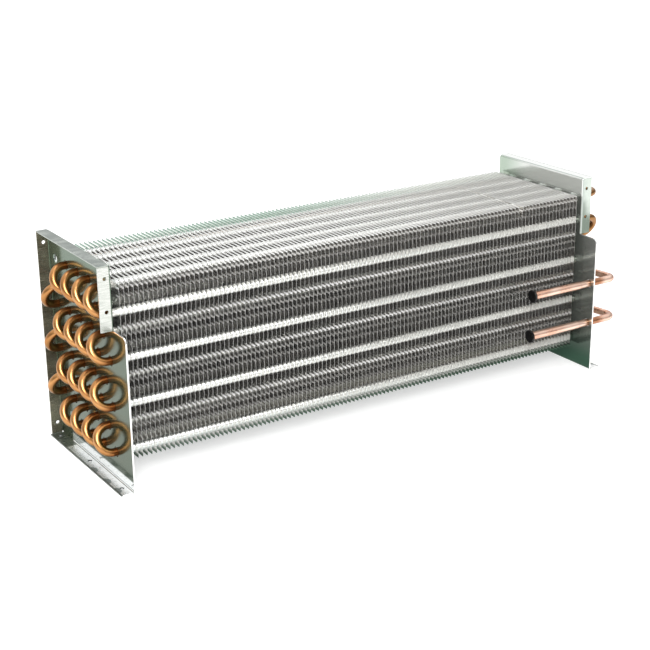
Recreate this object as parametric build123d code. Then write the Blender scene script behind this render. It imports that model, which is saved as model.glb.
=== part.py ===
from build123d import *
import os

# Evaporator coil: two folded sheet end plates, a pack of thin fins between them, and one copper
# circuit that runs back and forth through all of it. X runs along the tubes, Y from the nose of
# the plates to their back, Z up. The origin is the middle of the foot bolt pattern, on the
# surface that the feet stand on. Every size is in millimetres.

# Tube pattern: staggered rows, every other row half a pitch nearer the front
row_count = 8
column_count = 5
tube_pitch = 31.75
row_pitch = 27.5
tube_diameter = 9.52
tube_wall = 0.4
low_row_height = 34.8
top_row_drop = 31.7
front_tube_margin = 12.0
back_tube_margin = 18.125

# End plates
inner_span = 675.0
sheet = 1.5
fold_radius = 1.0
flange_width = 15.5
foot_width = 17.5
nose_depth = 31.0
nose_height = 183.0
nose_corner = 7.0
foot_corner = 2.5
corner_gap = 0.4
tube_hole_clearance = 0.15
collar_entry = 1.2
collar_length = 2.0
collar_wall = 0.8

# Fixing holes
fixing_hole = 4.5
foot_hole_inset = 9.0
foot_front_edge = 17.0
foot_back_edge = 11.0
flange_hole_inset = 7.5
flange_hole_drop = 15.0
flange_hole_spacing = 38.0
back_hole_height = 15.5

# Fins
fin_pitch = 5.775
fin_end_gap = 8.325
fin_thickness = 0.2
fin_edge_margin = 8.75
fin_inset = 0.5
fin_clearance = 0.1

# Copper joints: each leg ends in a bell that a return bend plugs into
hairpin_stand = 4.5
leg_reach = 15.5
return_reach = 22.5
high_return_reach = 37.0
bell_depth = 8.0
bell_taper = 1.0
bell_seat = 7.0
joint_clearance = 0.05

# Connection stubs, whose free ends are widened to take a pipe, and the plugs in them
stub_edge_distance = 10.2
stub_rise = 2.6
stub_hole_clearance = 0.4
stub_socket_gap = 17.0
upper_stub_length = 95.0
lower_stub_length = 97.0
upper_stub_reach = 44.5
lower_stub_reach = 49.0
upper_stub_radius = 10.0
lower_stub_radius = 14.0
plug_diameter = 16.8
plug_head = 3.0
plug_stem = 9.0
plug_edge = 0.8

# The circuit in flow order, as the tube (row, column) that the flow enters at the right end
flow = [
    (5, 4), (6, 3), (4, 2), (3, 3), (4, 4), (2, 4), (1, 3), (2, 2), (1, 1), (2, 0),
    (3, 1), (4, 0), (6, 0), (7, 1), (8, 2), (6, 1), (5, 2), (7, 3), (8, 4),
]
high_return = {(1, 4), (1, 3)}

# Planes and lines that several pieces share
plate_height = low_row_height + (row_count - 1) * row_pitch + top_row_drop
plate_depth = front_tube_margin + (column_count - 0.5) * tube_pitch + back_tube_margin
foot_length = nose_depth + plate_depth
foot_hole_pitch = (foot_length - foot_front_edge - foot_back_edge) / 2
back_y = foot_hole_pitch + foot_back_edge
front_y = back_y - plate_depth
nose_y = front_y - nose_depth
right_x = inner_span / 2
left_x = -right_x
fold_outer = fold_radius + sheet
tube_radius = tube_diameter / 2
tube_bore = tube_radius - tube_wall
stub_y = nose_y + stub_edge_distance
bell_bore = tube_radius + joint_clearance
fold_free = fold_outer + corner_gap


def tube_place(row, column):
    """Y and Z of a tube place; rows count from the top, columns from the back."""
    stagger = tube_pitch / 2 if row % 2 == 0 else 0
    y = back_y - back_tube_margin - column * tube_pitch - stagger
    return y, low_row_height + (row_count - row) * row_pitch


def hairpin_partner(row, column):
    """The tube that the same hairpin bend joins at the left end."""
    pair_starts_odd = column > 0
    upper = (row % 2 == 1) == pair_starts_odd
    return (row + 1, column) if upper else (row - 1, column)


def rod(radius, x_from, x_to, y, z):
    """A round bar along X."""
    middle = Location(((x_from + x_to) / 2, y, z), (0, 90, 0))
    return middle * Cylinder(radius, abs(x_to - x_from))


def pipe_along(path, outer, bore):
    """A round pipe swept along a path."""
    start = Plane(origin=path @ 0, z_dir=path % 0)
    return sweep(start * (Circle(outer) - Circle(bore)), path=path)


def u_path(x_ends, x_bend, reach_sign, place_a, place_b):
    """Two legs along X joined by a half turn whose arc starts at x_bend."""
    (ya, za), (yb, zb) = place_a, place_b
    apex_radius = ((ya - yb) ** 2 + (za - zb) ** 2) ** 0.5 / 2
    apex = (x_bend + reach_sign * apex_radius, (ya + yb) / 2, (za + zb) / 2)
    turn = ThreePointArc((x_bend, ya, za), apex, (x_bend, yb, zb))
    first = Line((x_ends[0], ya, za), (x_bend, ya, za))
    last = Line((x_bend, yb, zb), (x_ends[1], yb, zb))
    return first + turn + last


def fold_strip(start, normal, fold_span, flat_span, width):
    """A flange folded outwards, in -X; the spans are measured from start, along the fold."""
    along = Vector(-1, 0, 0).cross(Vector(normal))
    section = Plane(origin=start, x_dir=(-1, 0, 0), z_dir=along)
    corner = Pos(fold_outer / 2, -fold_outer / 2) * Rectangle(fold_outer, fold_outer)
    ring = Pos(fold_outer, -fold_outer) * (Circle(fold_outer) - Circle(fold_radius))
    flat = Pos((fold_outer + width) / 2, -sheet / 2) * Rectangle(width - fold_outer, sheet)
    strip = Part()
    for face, (near, far) in ((ring & corner, fold_span), (flat, flat_span)):
        strip += extrude(section.offset(near) * face, far - near)
    return strip


def plate_web():
    """The flat of the plate, up to where its folds start."""
    y_low, y_high = front_y + fold_outer, back_y - fold_outer
    z_low, z_high = fold_outer, plate_height - fold_outer
    outline = Polyline(
        (nose_y, z_low), (nose_y, nose_height), (y_low, nose_height), (y_low, z_high),
        (y_high, z_high), (y_high, z_low), close=True,
    )
    face = make_face(outline)
    tip = face.vertices().group_by(Axis.X)[0].sort_by(Axis.Y)[-1]
    face = fillet(tip, nose_corner)
    on_plate = Plane(origin=(left_x, 0, 0), x_dir=(0, 1, 0), z_dir=(1, 0, 0))
    return extrude(on_plate * face, -sheet)


def plate_flanges():
    """Top, back and upper front flanges, and the foot along the whole bottom."""
    top = fold_strip(
        (left_x, front_y, plate_height), (0, 0, 1),
        (fold_free, plate_depth - fold_free), (corner_gap, plate_depth - corner_gap), flange_width,
    )
    below_top = sheet + corner_gap
    back = fold_strip(
        (left_x, back_y, plate_height), (0, 1, 0),
        (fold_free, plate_height - fold_free), (below_top, plate_height - below_top), flange_width,
    )
    above_nose = nose_height + corner_gap
    front = fold_strip(
        (left_x, front_y, 0), (0, -1, 0),
        (above_nose, plate_height - fold_free), (above_nose, plate_height - below_top), flange_width,
    )
    foot = fold_strip(
        (left_x, back_y, 0), (0, 0, -1), (fold_free, foot_length), (corner_gap, foot_length), foot_width
    )
    toe = foot.edges().filter_by(Axis.Z).group_by(Axis.Y)[0].sort_by(Axis.X)[0]
    return top + back + front + fillet(toe, foot_corner)


def end_plate(stub_rows):
    """The left end plate; the right one is its mirror image with holes for the stubs.

    Each tube hole is drawn inwards into a short collar, with a rounded entry on the outside.
    """
    plate = plate_web() + plate_flanges()
    hole_radius = tube_radius + tube_hole_clearance
    collar_radius = hole_radius + collar_wall
    outside = left_x - sheet
    for row in range(1, row_count + 1):
        for column in range(column_count):
            y, z = tube_place(row, column)
            plate += rod(collar_radius, left_x, left_x + collar_length, y, z)
            plate -= rod(hole_radius, outside, left_x + collar_length, y, z)
            entry = Location((outside + collar_entry / 2, y, z), (0, 90, 0))
            plate -= entry * Cone(hole_radius + collar_entry, hole_radius, collar_entry)
    for row in stub_rows:
        z = tube_place(row, 0)[1] + stub_rise
        plate -= rod(tube_radius + stub_hole_clearance, outside, left_x, stub_y, z)
    drill = Cylinder(fixing_hole / 2, 4 * sheet)
    for step in (-1, 0, 1):
        plate -= Pos(left_x - foot_hole_inset, step * foot_hole_pitch, sheet / 2) * drill
    across = Rot(90, 0, 0) * drill
    flange_x = left_x - flange_hole_inset
    high_z = plate_height - flange_hole_drop
    for y, z in (
        (front_y + sheet / 2, high_z),
        (front_y + sheet / 2, high_z - flange_hole_spacing),
        (back_y - sheet / 2, high_z),
        (back_y - sheet / 2, back_hole_height),
    ):
        plate -= Pos(flange_x, y, z) * across
    return plate


def bell(throat, mouth, y, z):
    """A tube end widened so that another tube fits in it; it tapers just before the throat."""
    start = throat - bell_taper if mouth > throat else throat + bell_taper
    wide = bell_bore + tube_wall
    section = make_face(Polyline(
        (start, tube_bore), (start, tube_radius), (throat, wide), (mouth, wide),
        (mouth, bell_bore), (throat, bell_bore), close=True,
    ))
    plane = Plane(origin=(0, y, z), x_dir=(1, 0, 0), z_dir=(0, -1, 0))
    return revolve(plane * section, axis=Axis((0, y, z), (1, 0, 0)))


def hairpin(tube_a, tube_b):
    """One long tube bent double at the left end, with a bell on each leg that takes a bend."""
    mouth = right_x + leg_reach
    throat = mouth - bell_depth
    ends = [throat - bell_taper] * 2
    path = u_path(ends, left_x - hairpin_stand, -1, tube_place(*tube_a), tube_place(*tube_b))
    body = pipe_along(path, tube_radius, tube_bore)
    for tube in (tube_a, tube_b):
        body += bell(throat, mouth, *tube_place(*tube))
    return body


def return_bend(tube_a, tube_b):
    """A short bend that joins two hairpins at the right end, plugged into their bells."""
    reach = high_return_reach if {tube_a, tube_b} == high_return else return_reach
    seat = right_x + leg_reach - bell_seat
    path = u_path([seat, seat], right_x + reach, 1, tube_place(*tube_a), tube_place(*tube_b))
    return pipe_along(path, tube_radius, tube_bore)


def stub_pipe(tube, length, reach, turn_radius):
    """From a tube end, out, forward past the nose and back through it in front of the fins."""
    y, z = tube_place(*tube)
    stub_z = z + stub_rise
    throat = right_x - stub_socket_gap
    corners = [
        (right_x + leg_reach - bell_seat, y, z),
        (right_x + reach, y, z),
        (right_x + reach, stub_y, stub_z),
        (throat + bell_taper, stub_y, stub_z),
    ]
    path = FilletPolyline(*corners, radius=turn_radius)
    return pipe_along(path, tube_radius, tube_bore) + bell(throat, right_x - length, stub_y, stub_z)


def stub_cap(tube, length):
    """A soft plug in the open end of a stub, with a head wider than the pipe."""
    z = tube_place(*tube)[1] + stub_rise
    end_x = right_x - length
    head = fillet(rod(plug_diameter / 2, end_x - plug_head, end_x, stub_y, z).edges(), plug_edge)
    return head + rod(bell_bore - joint_clearance, end_x - plug_head / 2, end_x + plug_stem, stub_y, z)


def fin():
    """One fin, with a slanted window round the tubes of each pair of rows."""
    half_window = tube_radius + fin_clearance
    low, high = tube_place(row_count, 0)[1], tube_place(1, 0)[1]
    height = high - low + 2 * fin_edge_margin
    outline = Rectangle(plate_depth - 2 * fin_inset, height)
    face = Pos((front_y + back_y) / 2, (low + high) / 2) * outline
    for row in range(1, row_count, 2):
        corners = [
            tube_place(row, 0), tube_place(row, column_count - 1),
            tube_place(row + 1, column_count - 1), tube_place(row + 1, 0),
        ]
        window = make_face(Polyline(*corners, close=True))
        face -= offset(window, half_window, kind=Kind.INTERSECTION)
    upright = Plane(origin=(0, 0, 0), x_dir=(0, 1, 0), z_dir=(1, 0, 0))
    return extrude(upright * face, fin_thickness / 2, both=True)


def save(shape, node):
    shape.label = node
    export_step(shape, f"parts/{node}.step")


os.makedirs("parts", exist_ok=True)
exits = [hairpin_partner(*tube) for tube in flow]
inlet, outlet = flow[0], exits[-1]

save(end_plate([]), "end_plate_left")
save(mirror(end_plate([inlet[0], outlet[0]]), about=Plane.YZ), "end_plate_right")
for number, (entry, leave) in enumerate(zip(flow, exits), start=1):
    save(hairpin(entry, leave), f"hairpin_{number:02d}")
for number, (leave, entry) in enumerate(zip(exits, flow[1:]), start=1):
    save(return_bend(leave, entry), f"return_bend_{number:02d}")
upper = stub_pipe(inlet, upper_stub_length, upper_stub_reach, upper_stub_radius)
lower = stub_pipe(outlet, lower_stub_length, lower_stub_reach, lower_stub_radius)
save(upper, "stub_pipe_upper")
save(lower, "stub_pipe_lower")
save(stub_cap(inlet, upper_stub_length), "stub_cap_upper")
save(stub_cap(outlet, lower_stub_length), "stub_cap_lower")

one_fin = fin()
first_fin = left_x + fin_end_gap
fin_spaces = round(-2 * first_fin / fin_pitch)
fin_step = -2 * first_fin / fin_spaces
fin_row = [Pos(first_fin + i * fin_step, 0, 0) * one_fin for i in range(fin_spaces + 1)]
save(Compound(children=fin_row), "fins")
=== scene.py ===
import bpy
import math
from mathutils import Matrix, Vector


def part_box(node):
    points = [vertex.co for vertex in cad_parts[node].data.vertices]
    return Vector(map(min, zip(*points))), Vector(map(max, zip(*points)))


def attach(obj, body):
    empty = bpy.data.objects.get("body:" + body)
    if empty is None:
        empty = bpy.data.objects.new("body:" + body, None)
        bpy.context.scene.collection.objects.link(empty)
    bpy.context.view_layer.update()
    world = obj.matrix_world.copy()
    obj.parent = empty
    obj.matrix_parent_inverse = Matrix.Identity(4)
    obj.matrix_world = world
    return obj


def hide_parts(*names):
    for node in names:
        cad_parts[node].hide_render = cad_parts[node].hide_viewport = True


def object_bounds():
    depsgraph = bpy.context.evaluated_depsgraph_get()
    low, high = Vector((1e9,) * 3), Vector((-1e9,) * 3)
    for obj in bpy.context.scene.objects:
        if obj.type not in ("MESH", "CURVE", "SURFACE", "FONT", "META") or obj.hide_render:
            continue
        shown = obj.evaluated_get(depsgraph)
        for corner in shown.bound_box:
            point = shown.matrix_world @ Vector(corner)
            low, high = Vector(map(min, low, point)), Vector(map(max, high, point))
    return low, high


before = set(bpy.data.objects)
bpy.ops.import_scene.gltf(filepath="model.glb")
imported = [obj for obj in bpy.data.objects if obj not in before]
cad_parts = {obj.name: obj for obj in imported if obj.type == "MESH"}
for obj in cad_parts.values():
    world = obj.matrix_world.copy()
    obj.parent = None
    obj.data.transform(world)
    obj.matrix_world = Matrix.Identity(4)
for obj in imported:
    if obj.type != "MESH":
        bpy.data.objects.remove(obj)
cad_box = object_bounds()


# Camera. The coil is seen from the front left and from above through a long lens, so that the
# bends at the left end, the fins between the plates and the two stubs at the right end all show.
MM = 0.001
camera_place = Vector((-930.4, -1440.6, 709.7)) * MM
heading, tilt, roll = math.radians(32.332), math.radians(-19.541), math.radians(-0.663)
camera_data = bpy.data.cameras.new("camera")
camera_data.sensor_width = 36.0
camera_data.lens = 79.37
camera_data.clip_end = 20.0
camera = bpy.data.objects.new("camera", camera_data)
bpy.context.scene.collection.objects.link(camera)
camera.matrix_world = (
    Matrix.Translation(camera_place)
    @ Matrix.Rotation(-heading, 4, "Z")
    @ Matrix.Rotation(math.pi / 2 + tilt, 4, "X")
    @ Matrix.Rotation(roll, 4, "Z")
)
bpy.context.scene.camera = camera
bpy.context.scene.view_settings.view_transform = "Standard"


# Floor and light. The coil stands on a plain pale floor, under a sky that is brightest overhead
# and behind, with one large soft lamp at the front left and a wide, weaker one overhead.
class Wire:
    """One output of a material's nodes. Arithmetic on wires adds Math nodes, and node() adds any
    other node, with its settings first and then its sockets."""

    def __init__(self, tree, output=None):
        self.tree = tree
        self.output = output

    def node(self, kind, settings, sockets, out=0):
        made = self.tree.nodes.new(kind)
        for name, value in settings.items():
            setattr(made, name, value)
        for name, value in sockets.items():
            if isinstance(value, Wire):
                self.tree.links.new(value.output, made.inputs[name])
            else:
                made.inputs[name].default_value = value
        return Wire(self.tree, made.outputs[out])

    def other(self, name):
        """Another output of the same node."""
        return Wire(self.tree, self.output.node.outputs[name])

    def maths(self, operation, *values):
        """A Math node on this wire and on more wires or numbers."""
        sockets = dict(enumerate((self, *values)))
        return self.node("ShaderNodeMath", {"operation": operation}, sockets)

    def __add__(self, value):
        return self.maths("ADD", value)

    def __mul__(self, value):
        return self.maths("MULTIPLY", value)

    def __sub__(self, value):
        return self.maths("SUBTRACT", value)

    def __rsub__(self, value):
        return self.maths("MULTIPLY", -1.0) + value

    __radd__ = __add__
    __rmul__ = __mul__

    def rise(self, start, end):
        """0 below start and 1 above end, with a smooth step between them."""
        settings = {"interpolation_type": "SMOOTHSTEP"}
        sockets = {"Value": self, "From Min": start, "From Max": end}
        return self.node("ShaderNodeMapRange", settings, sockets)

    def fall(self, start, end):
        """1 below start and 0 above end, with a smooth step between them."""
        return 1 - self.rise(start, end)


def new_finish(name, **constants):
    """A material with its shader's sockets set as named, and a wire to start its nodes from."""
    finish = bpy.data.materials.new(name)
    finish.use_nodes = True
    shader = finish.node_tree.nodes["Principled BSDF"]
    for socket, value in constants.items():
        shader.inputs[socket.replace("_", " ")].default_value = value
    return finish, Wire(finish.node_tree)


floor_side = 12.0
bpy.ops.object.select_all(action="DESELECT")
bpy.ops.mesh.primitive_plane_add(size=floor_side, location=(0, 0, cad_box[0][2]))
floor = bpy.context.object
floor.name = "floor"
floor_finish = new_finish(
    "pale_floor", Base_Color=(0.66, 0.66, 0.66, 1), Roughness=0.9,
    Emission_Color=(1, 1, 1, 1), Emission_Strength=0.55,
)[0]
floor.data.materials.append(floor_finish)

# Seen directly, the sky is plain white; its uneven light falls only on the coil and the floor.
sky = bpy.data.worlds.new("sky")
bpy.context.scene.world = sky
sky.use_nodes = True
start = Wire(sky.node_tree)
direction = start.node("ShaderNodeTexCoord", {}, {}, out="Generated")
along_x = start.node("ShaderNodeSeparateXYZ", {}, {"Vector": direction})
along_y, height = along_x.other("Y"), along_x.other("Z")
overhead = height.rise(0.25, 0.8)
behind = along_y.rise(0.1, 0.7) * height.fall(0.5, 0.8)
seen = start.node("ShaderNodeLightPath", {}, {}, out="Is Camera Ray")
sky_light = (0.3 + overhead * 0.7 + behind * 0.6) * (1 - seen) + seen
sky_shader = sky.node_tree.nodes["Background"]
sky_shader.inputs["Color"].default_value = (1, 1, 1, 1)
sky.node_tree.links.new(sky_light.output, sky_shader.inputs["Strength"])

lamp_target = Vector((0, 0, 120)) * MM


def soft_lamp(name, place, width, power):
    """A round lamp that is turned to the middle of the coil."""
    data = bpy.data.lights.new(name, "AREA")
    data.shape = "DISK"
    data.size = width
    data.energy = power
    lamp = bpy.data.objects.new(name, data)
    bpy.context.scene.collection.objects.link(lamp)
    lamp.location = place
    lamp.rotation_euler = (Vector(place) - lamp_target).to_track_quat("Z", "Y").to_euler()


soft_lamp("front_lamp", place=(-1.1, -1.75, 1.5), width=1.2, power=45)
soft_lamp("top_lamp", place=(0, 0.2, 2.4), width=2.0, power=18)


# End plates. Bright rolled sheet, 1.5 mm thick, folded outwards along the top, the back, the upper
# front and the foot. Its broad faces are painted dark as painted reflections of the surroundings, and
# its folds and cut edges are pale.
def feed(wire, socket):
    """Lead a wire to a socket of its material's shader."""
    wire.tree.links.new(wire.output, wire.tree.nodes["Principled BSDF"].inputs[socket])


def blend(mask, low, high):
    """The low colour where the mask is 0 and the high colour where it is 1."""
    return mask.node("ShaderNodeMix", {"data_type": "RGBA"}, {0: mask, 6: low, 7: high}, out=2)


def places(start):
    """The place on the coil, as one wire and as its x, y and z."""
    place = start.node("ShaderNodeTexCoord", {}, {}, out="Object")
    x = start.node("ShaderNodeSeparateXYZ", {}, {"Vector": place})
    return place, x, x.other("Y"), x.other("Z")


def at_right(x):
    """0 in the coil's left half and 1 in its right half, with a soft change between them."""
    return x.rise(-100 * MM, 100 * MM)


def distance(side, lift):
    """How far a place is from a point, worked out from its two offsets from that point."""
    return (side * side + lift * lift).maths("SQRT")


def grain(start, place, stretch, scale, detail=3.0):
    """Noise from 0 to 1 about places that are stretched by three factors."""
    sockets = {"Vector": place, "Scale": stretch}
    stretched = start.node("ShaderNodeMapping", {"vector_type": "POINT"}, sockets)
    return start.node("ShaderNodeTexNoise", {}, {"Vector": stretched, "Scale": scale, "Detail": detail})


def coat(name, finish):
    """Give a piece of the coil this finish in place of its own."""
    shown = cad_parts[name]
    shown.data.materials.clear()
    shown.data.materials.append(finish)


plate_low, plate_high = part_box("end_plate_left")
nose_edge, plate_top = plate_low[1], plate_high[2]
fin_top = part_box("fins")[1][2]
web_middle, web_face, fold_end = 338.25 * MM, 339.0 * MM, 340.2 * MM
nose_top, nose_corner, nose_length, painted_nose_sheen_width = 183.0 * MM, 7.0 * MM, 30.0 * MM, 34.0 * MM
# Places and sizes of the painted shade marks on the feet.
bend_shade_x, bend_shade_radius, bend_shade_blur = 357.0 * MM, 8.5 * MM, 0.7 * MM
foot_hole_x, hole_shade_radius, hole_shade_blur = 346.5 * MM, 2.55 * MM, 0.4 * MM

sheet_finish, start = new_finish("plated_sheet", Metallic=0.75)
place, x, y, z = places(start)
across, right = x.maths("ABSOLUTE"), at_right(x)
rolled = grain(start, place, (1, 1.5, 22), 55)
cloud = grain(start, place, (1, 1, 1), 14)
speck = grain(start, place, (1, 1, 1), 420, 2.0)
streak = rolled.rise(0.35, 0.7)

# The left plate's outer face is painted dark as a painted reflection, lighter towards its top, with a
# pale strip above the foot painted as the foot's reflection.
towards_top = z.rise(180 * MM, 240 * MM)
painted_foot_reflection = y.fall(64 * MM, 67 * MM) * z.fall(11 * MM, 14 * MM)
left_web = blend(cloud, (0.04, 0.072, 0.042, 1), (0.075, 0.1, 0.062, 1))
left_web = blend(towards_top, left_web, (0.1, 0.15, 0.1, 1))
left_web = blend(painted_foot_reflection, left_web, (0.92, 0.95, 0.94, 1))

# The right plate's inner face is painted with reflections: grey on the nose with a painted sheen, pale
# above the fins, green towards the back, and dark near the foot.
painted_nose_sheen = y.fall(nose_edge, nose_edge + painted_nose_sheen_width) * z.rise(100 * MM, 175 * MM)
towards_back = y.rise(30 * MM, 90 * MM)
above_fins = z.rise(fin_top - 4 * MM, fin_top)
near_foot = z.fall(10 * MM, 75 * MM)
nose_web = blend(cloud, (0.22, 0.24, 0.21, 1), (0.34, 0.36, 0.33, 1))
nose_web = blend(painted_nose_sheen, nose_web, (0.42, 0.43, 0.41, 1))
right_web = blend(cloud, (0.62, 0.64, 0.61, 1), (0.8, 0.82, 0.79, 1))
right_web = blend(towards_back, right_web, (0.4, 0.48, 0.4, 1))
right_web = blend(above_fins, nose_web, right_web)
right_web = blend(near_foot, right_web, (0.03, 0.08, 0.05, 1))
web_tone = blend(right, left_web, right_web)

# The left plate's inner face and the right plate's outer face are plain sheet.
outer = across.rise(web_middle - 0.25 * MM, web_middle + 0.25 * MM)
unseen = right * outer + (1 - right) * (1 - outer)
web_tone = blend(unseen, web_tone, (0.42, 0.46, 0.43, 1))

# The upright folds are streaked, browner at the back, and clouded on the right plate.
at_back = y.rise(90 * MM, 94 * MM)
flange_tone = blend(streak, (0.47, 0.49, 0.45, 1), (0.66, 0.67, 0.63, 1))
right_flange = blend(cloud.rise(0.4, 0.6), (0.18, 0.22, 0.18, 1), (0.62, 0.68, 0.62, 1))
flange_tone = blend(right, flange_tone, right_flange)
back_tone = blend(streak, (0.17, 0.16, 0.11, 1), (0.36, 0.33, 0.26, 1))
flange_tone = blend(at_back, flange_tone, back_tone)

# The top folds are streaked and dark on the left plate, and pale on the right, with painted shade lines
# along its fold and its edge.
on_top = z.rise(plate_top - 1.2 * MM, plate_top - 0.8 * MM)
top_shade_lines = across.fall(339.3 * MM, 340.0 * MM) + across.rise(351.5 * MM, 352.2 * MM)
right_top = blend(top_shade_lines, (0.9, 0.92, 0.9, 1), (0.2, 0.24, 0.21, 1))
top_tone = blend(streak, (0.19, 0.22, 0.2, 1), (0.34, 0.37, 0.34, 1))
top_tone = blend(right, top_tone, right_top)
flange_tone = blend(on_top, flange_tone, top_tone)

# The feet are bright, with three grey half-round marks painted as shade from the return bends,
# a dark back end on the left plate painted as a reflection, and painted shade round the holes and along
# the fold and the edge.
above_foot = z.rise(1.8 * MM, 2.4 * MM)
# Painted reflection: the back end of the left foot is dark.
left_back_painted_reflection = y.rise(50 * MM, 53 * MM) * (1 - right)
foot_tone = blend(speck.rise(0.56, 0.66), (0.93, 0.94, 0.94, 1), (0.66, 0.69, 0.69, 1))
# Painted shade from the return bends: three grey half-round marks at the tube pitch.
for bend_shade_y in (-25, -61, -90):
    from_bend_shade = distance(y - bend_shade_y * MM, across - bend_shade_x)
    bend_shade = from_bend_shade.fall(bend_shade_radius, bend_shade_radius + bend_shade_blur)
    foot_tone = blend(bend_shade, foot_tone, (0.36, 0.4, 0.39, 1))
foot_tone = blend(left_back_painted_reflection, foot_tone, (0.2, 0.23, 0.2, 1))
# Painted shade in the foot holes.
for hole_y in (-88, 0, 88):
    from_hole = distance(y - hole_y * MM, across - foot_hole_x)
    hole_shade = from_hole.fall(hole_shade_radius, hole_shade_radius + hole_shade_blur)
    foot_tone = blend(hole_shade, foot_tone, (0.1, 0.11, 0.11, 1))
# Painted shade lines along the foot's fold and its outer edge.
foot_shade_lines = across.fall(340.3 * MM, 341.0 * MM) + across.rise(353.0 * MM, 353.6 * MM)
foot_tone = blend(foot_shade_lines, foot_tone, (0.16, 0.18, 0.16, 1))
flange_tone = blend(above_foot, foot_tone, flange_tone)
folded = across.rise(web_face + 0.3 * MM, fold_end)
tone = blend(folded, web_tone, flange_tone)

# The cut edge of the nose is pale, along its front and round its upper corner, and the pale band is
# widened onto the face as a painted highlight.
out = (nose_edge + nose_corner - y).maths("MAXIMUM", 0.0)
up = (z - (nose_top - nose_corner)).maths("MAXIMUM", 0.0)
at_rim = distance(out, up).rise(nose_corner - 0.9 * MM, nose_corner - 0.3 * MM)
on_nose = y.fall(nose_edge + nose_length, nose_edge + nose_length + 0.6 * MM)
cut_edge_and_highlight = at_rim * on_nose * (1 - folded)
feed(blend(cut_edge_and_highlight, tone, (0.95, 0.96, 0.95, 1)), "Base Color")
feed(0.1 + rolled * 0.08 + folded * 0.12, "Roughness")
for name in ("end_plate_left", "end_plate_right"):
    coat(name, sheet_finish)


# Copper circuit. Hairpins of drawn copper tube, bent on a mandrel and pushed through from the left,
# with return bends brazed into their bells at the right. Near the plates they are darker and browner.
def glancing(start):
    """0 where a surface faces the eye and 1 at its outline."""
    return start.node("ShaderNodeLayerWeight", {}, {"Blend": 0.35}, out="Facing")


def upward(start):
    """1 where a surface faces up, 0 where it is upright and -1 on its underside."""
    facing = start.node("ShaderNodeNewGeometry", {}, {}, out="Normal")
    return start.node("ShaderNodeSeparateXYZ", {}, {"Vector": facing}, out="Z")


copper_finish, start = new_finish("aged_copper", Metallic=1.0)
place, x = places(start)[:2]
across = x.maths("ABSOLUTE")
tarnish = grain(start, place, (1, 1, 1), 38)
drawn = grain(start, place, (0.15, 1, 1), 260, 2.0)
# Painted shade: darker along the outline, which follows the angle of view, and darker on the
# undersides.
painted_outline_shade = glancing(start).rise(0.35, 0.9)
painted_underside_shade = upward(start).fall(-0.75, 0.05)
past_right_plate = x.rise(340 * MM, 345 * MM)
golden = blend(tarnish.rise(0.35, 0.7), (0.58, 0.29, 0.11, 1), (0.44, 0.2, 0.07, 1))
golden = blend(painted_outline_shade, golden, (0.34, 0.155, 0.055, 1))
golden = blend(painted_underside_shade, golden, (0.26, 0.125, 0.04, 1))
golden = blend(past_right_plate, golden, (0.34, 0.17, 0.065, 1))
browned = (across + tarnish * (12 * MM)).fall(347 * MM, 361 * MM)

# Between the plates the tubes take the collars' pale tone at the left and are painted dark at the right
# as shade.
between_plates = across.fall(337.2 * MM, 337.8 * MM)
hidden_tone = blend(at_right(x), (0.8, 0.79, 0.76, 1), (0.03, 0.02, 0.012, 1))
near_plate_tone = blend(between_plates, (0.24, 0.075, 0.02, 1), hidden_tone)
feed(blend(browned, golden, near_plate_tone), "Base Color")
feed(0.25 + drawn * 0.1 + browned * 0.08, "Roughness")
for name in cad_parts:
    if name.startswith(("hairpin", "return_bend")):
        coat(name, copper_finish)


# Stub pipes. New pinkish copper, each bent round the nose of the right plate and back through it.
# Their free ends are widened to take the refrigerant line.
stub_finish, start = new_finish("new_copper", Metallic=0.85)
place, x = places(start)[:2]
bloom = grain(start, place, (0.4, 1, 1), 60)
# Painted shade: darker along the outline, which follows the angle of view.
painted_outline_shade = glancing(start).rise(0.3, 0.8)
pink = blend(bloom.rise(0.35, 0.65), (0.78, 0.44, 0.31, 1), (0.96, 0.7, 0.57, 1))
pink = blend(painted_outline_shade, pink, (0.42, 0.19, 0.12, 1))
browned = x.fall(352 * MM, 366 * MM) * x.rise(330 * MM, 338 * MM)
feed(blend(browned, pink, (0.42, 0.19, 0.1, 1)), "Base Color")
feed(0.2 + bloom * 0.16, "Roughness")
for name in ("stub_pipe_upper", "stub_pipe_lower"):
    coat(name, stub_finish)


# Plugs. Soft black rubber, moulded with a round head, pushed into the open ends of the stubs so
# that no dirt gets in. The rim of each head is painted a little grey as a highlight, broken up by
# noise.
highlight_start = 7.2 * MM
for level in ("upper", "lower"):
    low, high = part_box(f"stub_cap_{level}")
    rubber_finish, start = new_finish(f"rubber_{level}", Roughness=0.7, Specular_IOR_Level=0.15)
    place, _, y, z = places(start)
    from_axis = distance(y - (low[1] + high[1]) / 2, z - (low[2] + high[2]) / 2)
    highlight_noise = grain(start, place, (1, 1, 1), 300)
    rim_highlight = from_axis.rise(highlight_start, highlight_start + 0.8 * MM) * highlight_noise.rise(0.3, 0.6)
    feed(blend(rim_highlight, (0.002, 0.002, 0.002, 1), (0.035, 0.035, 0.033, 1)), "Base Color")
    coat(f"stub_cap_{level}", rubber_finish)


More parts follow.
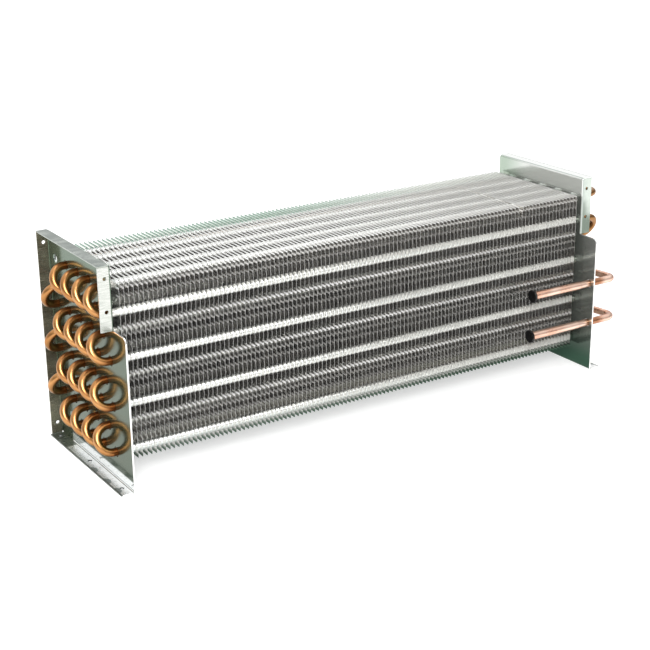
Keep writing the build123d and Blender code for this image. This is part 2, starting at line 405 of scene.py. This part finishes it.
# Fins. Thin bright aluminium sheet, with a flared collar drawn round each tube. The collar of one
# fin reaches the next and sets the gap between them; the tubes were then swelled tight in them.
fin_low, fin_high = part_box("fins")
fin_count, pack_count = 115, 5
fin_thickness = 0.3 * MM
tube_pitch, row_pitch = 31.75 * MM, 27.5 * MM
row_count, column_count = 8, 5
fin_edge_margin, back_tube_margin = 8.75 * MM, 17.625 * MM
ripple, ripple_swing, ripple_steps = row_pitch / 3, 0.2 * MM, 8
crest_below_row, last_crest = 16.3 * MM, 230.0 * MM
first_fin = fin_low[0] + fin_thickness / 2 + ripple_swing
fin_pitch = (fin_high[0] - fin_thickness / 2 - ripple_swing - first_fin) / (fin_count - 1)
tube_spots = [(row, column) for row in range(1, row_count + 1) for column in range(column_count)]


def tube_place(row, column):
    """Y and Z of a tube; rows count from the top, columns from the back."""
    stagger = tube_pitch / 2 if row % 2 == 0 else 0
    y = fin_high[1] - back_tube_margin - column * tube_pitch - stagger
    return y, fin_high[2] - fin_edge_margin - (row - 1) * row_pitch


def pick(piece, wanted):
    """Select the vertices of a piece whose place passes the test, and go into edit mode."""
    bpy.ops.object.select_all(action="DESELECT")
    piece.select_set(True)
    bpy.context.view_layer.objects.active = piece
    bpy.ops.object.mode_set(mode="EDIT")
    bpy.ops.mesh.select_mode(type="VERT")
    bpy.ops.mesh.select_all(action="DESELECT")
    bpy.ops.object.mode_set(mode="OBJECT")
    for vertex in piece.data.vertices:
        vertex.select = wanted(piece.matrix_world @ vertex.co)
    bpy.ops.object.mode_set(mode="EDIT")


def turned_ring(name, place, profile, sides):
    """A ring about a line along X, drawn out from a circle through (x in mm, radius in mm)."""
    bpy.ops.object.select_all(action="DESELECT")
    bpy.ops.mesh.primitive_circle_add(
        vertices=sides, radius=profile[0][1] * MM, location=place, rotation=(0, math.pi / 2, 0)
    )
    ring = bpy.context.object
    ring.name = name
    bpy.ops.object.mode_set(mode="EDIT")
    bpy.ops.mesh.select_all(action="SELECT")
    for (x0, r0), (x1, r1) in zip(profile, profile[1:]):
        bpy.ops.mesh.extrude_edges_move(TRANSFORM_OT_translate={"value": ((x1 - x0) * MM, 0, 0)})
        bpy.ops.transform.resize(value=(1, r1 / r0, r1 / r0))
    bpy.ops.object.mode_set(mode="OBJECT")
    return ring


def copy_to(piece, step):
    """A copy of a piece with its own mesh, moved by a step."""
    bpy.ops.object.select_all(action="DESELECT")
    piece.select_set(True)
    bpy.context.view_layer.objects.active = piece
    bpy.ops.object.duplicate()
    copied = bpy.context.object
    copied.location = piece.location + Vector(step)
    return copied


def copy_to_tube(piece, row, column):
    """A copy of a piece that was made round the first tube, moved to another one."""
    y, z = tube_place(row, column)
    return copy_to(piece, (0, y - first_y, z - first_z))


def join_at_origin(pieces, name):
    """Join pieces, put the place in the mesh and turn the faces outwards."""
    bpy.ops.object.select_all(action="DESELECT")
    for piece in pieces:
        piece.select_set(True)
    joined = pieces[0]
    bpy.context.view_layer.objects.active = joined
    if len(pieces) > 1:
        bpy.ops.object.join()
    bpy.ops.object.transform_apply(location=True, rotation=True, scale=True)
    bpy.ops.object.mode_set(mode="EDIT")
    bpy.ops.mesh.select_all(action="SELECT")
    bpy.ops.mesh.normals_make_consistent(inside=False)
    bpy.ops.object.mode_set(mode="OBJECT")
    bpy.ops.object.shade_smooth_by_angle(angle=math.radians(50))
    joined.name = name
    return joined


# One sheet is drawn up from a narrow strip at the bottom, with a sideways step at each height.
first_crest = tube_place(2, 0)[1] - crest_below_row
fin_height = fin_high[2] - fin_low[2]
step_count = math.ceil(fin_height / ripple * ripple_steps)
height_step = fin_height / step_count
strip_middle = (first_fin, (fin_low[1] + fin_high[1]) / 2, fin_low[2] + height_step / 2)
bpy.ops.object.select_all(action="DESELECT")
bpy.ops.mesh.primitive_plane_add(size=1, location=strip_middle, rotation=(0, math.pi / 2, 0))
fin = bpy.context.object
pick(fin, lambda spot: True)
bpy.ops.transform.resize(value=(1, fin_high[1] - fin_low[1], height_step))
bpy.ops.object.mode_set(mode="OBJECT")
pick(fin, lambda spot: spot.z > strip_middle[2])
lean = [
    ripple_swing * math.sin(2 * math.pi * (fin_low[2] + step * height_step - first_crest) / ripple)
    for step in range(step_count + 1)
]
bpy.ops.transform.translate(value=(lean[1] - lean[0], 0, 0))
for step in range(1, step_count):
    sideways = lean[step + 1] - lean[step]
    bpy.ops.mesh.extrude_region_move(TRANSFORM_OT_translate={"value": (sideways, 0, height_step)})
bpy.ops.mesh.select_all(action="SELECT")
bpy.ops.transform.translate(value=(lean[0], 0, 0))
bpy.ops.object.mode_set(mode="OBJECT")
sheet = fin.modifiers.new("sheet", "SOLIDIFY")
sheet.thickness = fin_thickness
sheet.offset = 0
bpy.ops.object.modifier_apply(modifier="sheet")

# The collars that show, in the top row and at the front, are rounder than the ones inside.
pitch_mm = fin_pitch / MM
collar_profile = [
    (0.1, 6.0), (0.5, 5.6), (1.0, 5.35), (1.8, 5.2), (pitch_mm - 0.7, 5.2), (pitch_mm - 0.3, 5.35),
]
plain_profile = collar_profile[:2] + collar_profile[3:]
first_y, first_z = tube_place(1, 0)
collar_start = (first_fin + 0.1 * MM, first_y, first_z)
round_collar = turned_ring("collar", collar_start, collar_profile, 20)
plain_collar = turned_ring("collar", collar_start, plain_profile, 10)
collars = []
for row, column in tube_spots:
    pattern = round_collar if row == 1 or column == column_count - 1 else plain_collar
    collars.append(copy_to_tube(pattern, row, column))
bpy.data.objects.remove(round_collar)
bpy.data.objects.remove(plain_collar)

# Painted highlights: pale, matt stripes along the crests near the fins' front and back edges, and along
# the top edges. The strongest crest comes once in two rows, with two lesser ones below it that fade
# towards the right.
fin_finish, start = new_finish("bright_fin")
place, x, y, z = places(start)
skin = grain(start, place, (1, 1, 1), 90)
from_middle = (y - (fin_low[1] + fin_high[1]) / 2).maths("ABSOLUTE")
half_depth = (fin_high[1] - fin_low[1]) / 2
fading = x.rise(-200 * MM, 50 * MM)
painted_crest_highlight = 0
for crest, strength in ((0, 1.4), (1, 0.4 - 0.2 * fading), (2, 0.32 - 0.16 * fading)):
    above = (z - (first_crest - crest * ripple)).maths("WRAP", row_pitch, -row_pitch)
    painted_crest_highlight = strength * above.maths("ABSOLUTE").fall(0.6 * MM, 1.7 * MM) + painted_crest_highlight
painted_crest_highlight = painted_crest_highlight + 0.3 * (z - last_crest).maths("ABSOLUTE").fall(0.4 * MM, 1.3 * MM)
painted_crest_highlight = painted_crest_highlight * from_middle.rise(half_depth - 10 * MM, half_depth - 8 * MM)
top_zone = z.rise(fin_high[2] - 1.9 * MM, fin_high[2] - 1.1 * MM)
painted_crest_highlight = painted_crest_highlight.maths("MAXIMUM", top_zone).maths("MINIMUM", 1.0)
edge = from_middle.rise(half_depth - 0.2 * MM, half_depth - 0.1 * MM) * (1 - top_zone)
painted_crest_highlight = painted_crest_highlight * (1 - edge)

# The sheet's tone is warm and bright, with painted green reflections along the back of the top and
# painted dark green reflections at the foot.
towards_right = x.rise(-100 * MM, 330 * MM)
back_green_reflection = z.rise(fin_high[2] - 4 * MM, fin_high[2] - 2 * MM) * y.rise(66 * MM, 74 * MM)
back_green_reflection = back_green_reflection * (1 - 0.8 * x.rise(-100 * MM, 250 * MM))
low_green_reflection = z.fall(27 * MM, 33 * MM)
fin_tone = blend(skin, (0.9, 0.88, 0.85, 1), (0.95, 0.93, 0.9, 1))
crest_highlight_tone = blend(towards_right, (0.96, 0.96, 0.95, 1), (0.6, 0.6, 0.58, 1))
fin_tone = blend(painted_crest_highlight, fin_tone, crest_highlight_tone)
fin_tone = blend(edge, fin_tone, (0.55, 0.55, 0.53, 1))
fin_tone = blend(back_green_reflection, fin_tone, (0.3, 0.42, 0.35, 1))
fin_tone = blend(low_green_reflection, fin_tone, (0.09, 0.16, 0.11, 1))
feed(fin_tone, "Base Color")
feed(0.97 - 0.97 * painted_crest_highlight, "Metallic")
feed(0.15 + skin * 0.08 + painted_crest_highlight * 0.3, "Roughness")

# The collars are duller, and painted dark underneath towards the right as shade.
collar_finish, start = new_finish("drawn_collar")
place, x = places(start)[:2]
skin = grain(start, place, (1, 1, 1), 200)
painted_underside_shade = upward(start).fall(-0.45, -0.2)
collar_tone = blend(skin, (0.88, 0.91, 0.9, 1), (0.93, 0.97, 0.96, 1))
collar_tone = blend(painted_underside_shade * x.rise(0, 200 * MM), collar_tone, (0.22, 0.22, 0.21, 1))
feed(collar_tone, "Base Color")
feed(1 - 0.85 * x.rise(-100 * MM, 200 * MM), "Metallic")
feed(0.34 + skin * 0.08, "Roughness")
fin.data.materials.append(fin_finish)
for collar in collars:
    collar.data.materials.append(collar_finish)
fin = join_at_origin([fin] + collars, "fin")

fins_in_pack = fin_count // pack_count
packs = []
for number in range(pack_count):
    pack = copy_to(fin, (number * fins_in_pack * fin_pitch, 0, 0))
    pack.name = f"fin_pack_{number + 1}"
    row_of_fins = pack.modifiers.new("fins", "ARRAY")
    row_of_fins.count = fins_in_pack
    row_of_fins.use_relative_offset = False
    row_of_fins.use_constant_offset = True
    row_of_fins.constant_offset_displace = (fin_pitch, 0, 0)
    bpy.ops.object.modifier_apply(modifier="fins")
    bpy.ops.object.transform_apply(location=True)
    packs.append(pack)
bpy.data.objects.remove(fin)

# Above the stubs' free ends the upper front corners of two fins have been knocked to the right.
# Each push moves what stands above its height.
knock_left, knock_right, knock_back = 236.0 * MM, 242.5 * MM, -70.0 * MM


def in_corner(spot, height):
    """Whether a place is in the knocked corners and above a height."""
    return knock_left < spot.x < knock_right and spot.y < knock_back and spot.z > height


for height, push in ((226, 0.6), (230, 0.7), (233, 0.7)):
    pick(packs[-1], lambda spot: in_corner(spot, height * MM))
    bpy.ops.transform.translate(value=(push * MM, 0, 0))
    bpy.ops.object.mode_set(mode="OBJECT")

for pack in packs:
    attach(pack, "root")
    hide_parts("fins")


# Braze rings. Where a return bend or a stub enters a bell, brazing rod has run into the joint and
# left a small pale yellow fillet round its mouth.
bell_mouth, ring_overlap = 353.0 * MM, 0.4 * MM
ring_profile = [(0.0, 5.16), (0.25, 5.34), (0.7, 5.25), (1.3, 4.95), (1.9, 4.74)]
empty_spots = [(1, 0), (8, 0)]
pattern = turned_ring("braze", (bell_mouth - ring_overlap, first_y, first_z), ring_profile, 14)
rings = [copy_to_tube(pattern, *spot) for spot in tube_spots if spot not in empty_spots]
bpy.data.objects.remove(pattern)
braze_finish, start = new_finish("braze", Metallic=1.0)
place = places(start)[0]
lumps = grain(start, place, (1, 1, 1), 350)
feed(blend(lumps, (0.62, 0.44, 0.2, 1), (0.8, 0.66, 0.42, 1)), "Base Color")
feed(0.3 + lumps * 0.2, "Roughness")
for ring in rings:
    ring.data.materials.append(braze_finish)
rings = join_at_origin(rings, "braze_rings")
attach(rings, "root")
